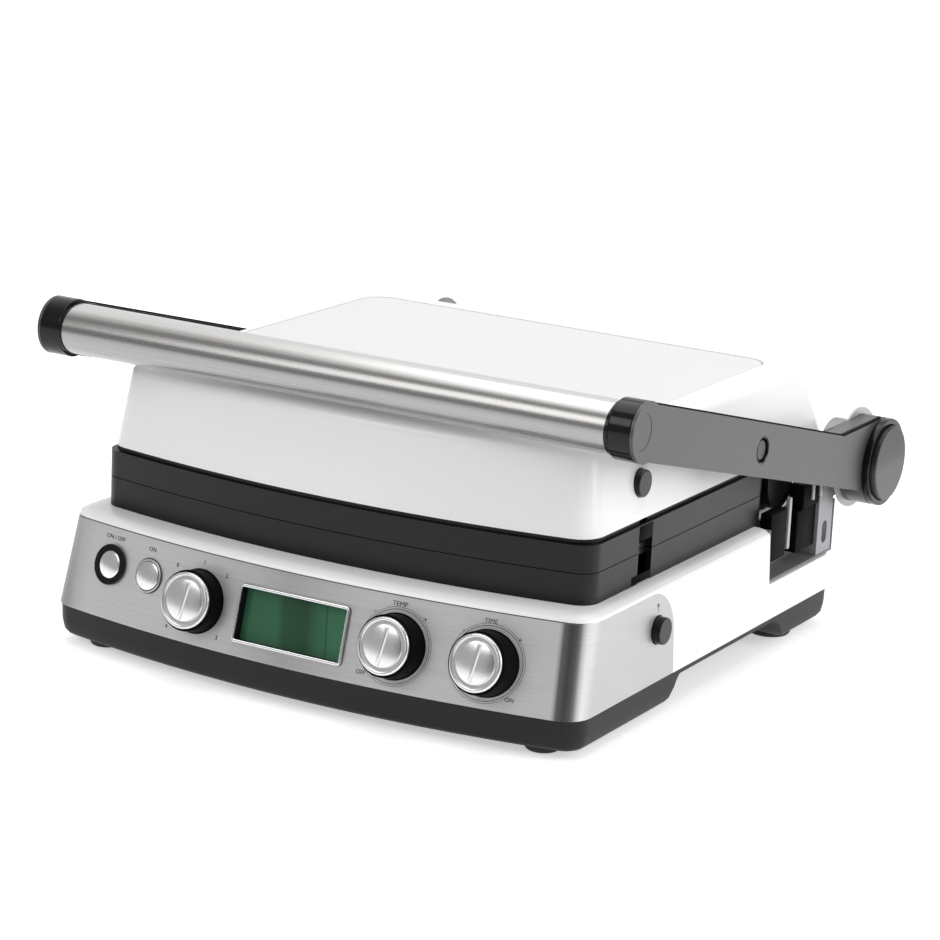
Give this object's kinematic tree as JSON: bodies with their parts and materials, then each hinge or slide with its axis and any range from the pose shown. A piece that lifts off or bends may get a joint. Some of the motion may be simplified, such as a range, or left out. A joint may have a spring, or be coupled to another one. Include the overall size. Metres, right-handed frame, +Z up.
{
  "type": "electric indoor grill with lid",
  "caption": "Countertop contact grill: a bowed steel control front, ribbed cast plates, and a white lid carried by a tube handle on side arms that swing on rear hubs.",
  "frame": {"origin": "on the counter, below the middle of the grill's bounding box, knobs and hubs included", "axes": "+X to the viewer's right when facing the controls, +Y from the controls to the rear hinge, +Z up"},
  "size_m": [0.402, 0.399, 0.1993],
  "materials": {
    "white_paint": "gloss white paint",
    "white_plastic": "gloss white",
    "brushed_front": "brushed",
    "brushed_tube": "brushed along the tube",
    "bright_chrome": "polished",
    "plain_steel": "plain",
    "heater_tube": "heat tinted",
    "reflector": "sheet",
    "cast_plate": "black non-stick coat",
    "grey_satin": "satin grey coat",
    "hinge_metal": "cast",
    "black_gloss": "gloss black",
    "black_matte": "matte black",
    "dark_grey": "fine grain",
    "mid_grey": "fine grain",
    "foot_rubber": "matte",
    "clear_window": "clear",
    "green_display": "green",
    "circuit": "board"
  },
  "bodies": {
    "base": {"base_shell": "white_plastic", "bottom_tray": "dark_grey", "control_fascia": "brushed_front", "lcd_bezel": "bright_chrome", "lcd_window": "clear_window", "lcd_module": "green_display", "control_board": "circuit", "power_board": "circuit", "encoder_bodies": "plain_steel", "key_switches": "black_matte", "power_key_ring": "black_gloss", "mode_key_ring": "black_gloss", "lower_plate": "cast_plate", "lower_heater": "heater_tube", "lower_reflector": "reflector", "lower_sensor": "reflector", "hinge_bracket_left": "hinge_metal", "hinge_bracket_right": "hinge_metal", "hinge_pins": "plain_steel", "hinge_well_liners": "mid_grey", "feet": "foot_rubber", "base_screws": "plain_steel", "cord_gland": "black_matte", "lower_latch_bracket": "black_matte"},
    "handle": {"handle_tube": "brushed_tube", "handle_cap_left": "black_gloss", "handle_cap_right": "black_gloss", "arm_left": "grey_satin", "arm_right": "grey_satin", "arm_liners": "black_matte", "handle_screw_covers": "grey_satin", "hub_rings": "black_gloss", "hub_flanges": "black_matte", "hub_cap_left": "grey_satin", "pivot_screws": "plain_steel"},
    "lid": {"lid_shell": "white_paint", "lid_top_panel": "white_paint", "lid_frame": "black_matte", "lid_pivots": "black_matte", "lid_wire_grommet": "mid_grey", "upper_plate": "cast_plate", "upper_heater": "heater_tube", "upper_reflector": "reflector"},
    "function_knob": {"function_skirt": "black_matte", "function_cap": "bright_chrome", "function_shaft": "plain_steel"},
    "temperature_knob": {"temperature_skirt": "black_matte", "temperature_cap": "bright_chrome", "temperature_shaft": "plain_steel"},
    "timer_knob": {"timer_skirt": "black_matte", "timer_cap": "bright_chrome", "timer_shaft": "plain_steel"},
    "power_button": {"power_key": "bright_chrome"},
    "mode_button": {"mode_key": "bright_chrome"},
    "lower_button": {"lower_release_button": "black_matte"},
    "lower_catch": {"lower_latch": "black_matte"},
    "upper_button": {"upper_release_button": "black_matte"},
    "upper_catch": {"upper_latch": "black_matte"},
    "hinge_button": {"hinge_release_button": "grey_satin"},
    "drip_drawer": {"drip_tray": "black_matte"}
  },
  "joints": [
    {"name": "handle_hinge", "type": "hinge", "parent": "base", "child": "handle", "pos_m": [0, 0.16846, 0.1027], "axis": [-1, 0, 0], "range_deg": [0, 180]},
    {"name": "lid_tilt", "type": "hinge", "parent": "handle", "child": "lid", "pos_m": [0, -0.00354, 0.14386], "axis": [-1, 0, 0], "range_deg": [-4, 0]},
    {"name": "drip_slide", "type": "slide", "parent": "base", "child": "drip_drawer", "axis": [0, 1, 0], "range_m": [0, 0.14]},
    {"name": "function_turn", "type": "hinge", "parent": "base", "child": "function_knob", "pos_m": [-0.066, -0.1823, 0.0475], "axis": [0, 0.9643, -0.2647], "range_deg": [-135, 135]},
    {"name": "temperature_turn", "type": "hinge", "parent": "base", "child": "temperature_knob", "pos_m": [0.0648, -0.1824, 0.0475], "axis": [0, 0.9643, -0.2647], "continuous": true},
    {"name": "timer_turn", "type": "hinge", "parent": "base", "child": "timer_knob", "pos_m": [0.119, -0.17616, 0.0475], "axis": [0, 0.9643, -0.2647], "continuous": true},
    {"name": "power_press", "type": "slide", "parent": "base", "child": "power_button", "axis": [0.1605, 0.9509, -0.2647], "range_m": [0, 0.0012], "stiffness_N_per_m": 600},
    {"name": "mode_press", "type": "slide", "parent": "base", "child": "mode_button", "axis": [0.1246, 0.9562, -0.2647], "range_m": [0, 0.0012], "stiffness_N_per_m": 600},
    {"name": "lower_press", "type": "slide", "parent": "base", "child": "lower_button", "axis": [-1, 0, 0], "range_m": [0, 0.003], "stiffness_N_per_m": 600},
    {"name": "lower_catch_turn", "type": "hinge", "parent": "base", "child": "lower_catch", "pos_m": [0.15, -0.07954, 0.0675], "axis": [0, 1, 0], "range_deg": [0, 15]},
    {"name": "upper_press", "type": "slide", "parent": "lid", "child": "upper_button", "axis": [-1, 0, 0], "range_m": [0, 0.003], "stiffness_N_per_m": 600},
    {"name": "upper_catch_turn", "type": "hinge", "parent": "lid", "child": "upper_catch", "pos_m": [0.15, -0.07954, 0.1209], "axis": [0, -1, 0], "range_deg": [0, 15]},
    {"name": "hinge_press", "type": "slide", "parent": "handle", "child": "hinge_button", "axis": [-1, 0, 0], "range_m": [0, 0.003], "stiffness_N_per_m": 800}
  ],
  "couplings": [
    {"joint": "lid_tilt", "follows": "handle_hinge", "ratio": -0.02},
    {"joint": "lower_catch_turn", "follows": "lower_press", "rad_per_m": 71.429},
    {"joint": "upper_catch_turn", "follows": "upper_press", "rad_per_m": 71.429}
  ]
}
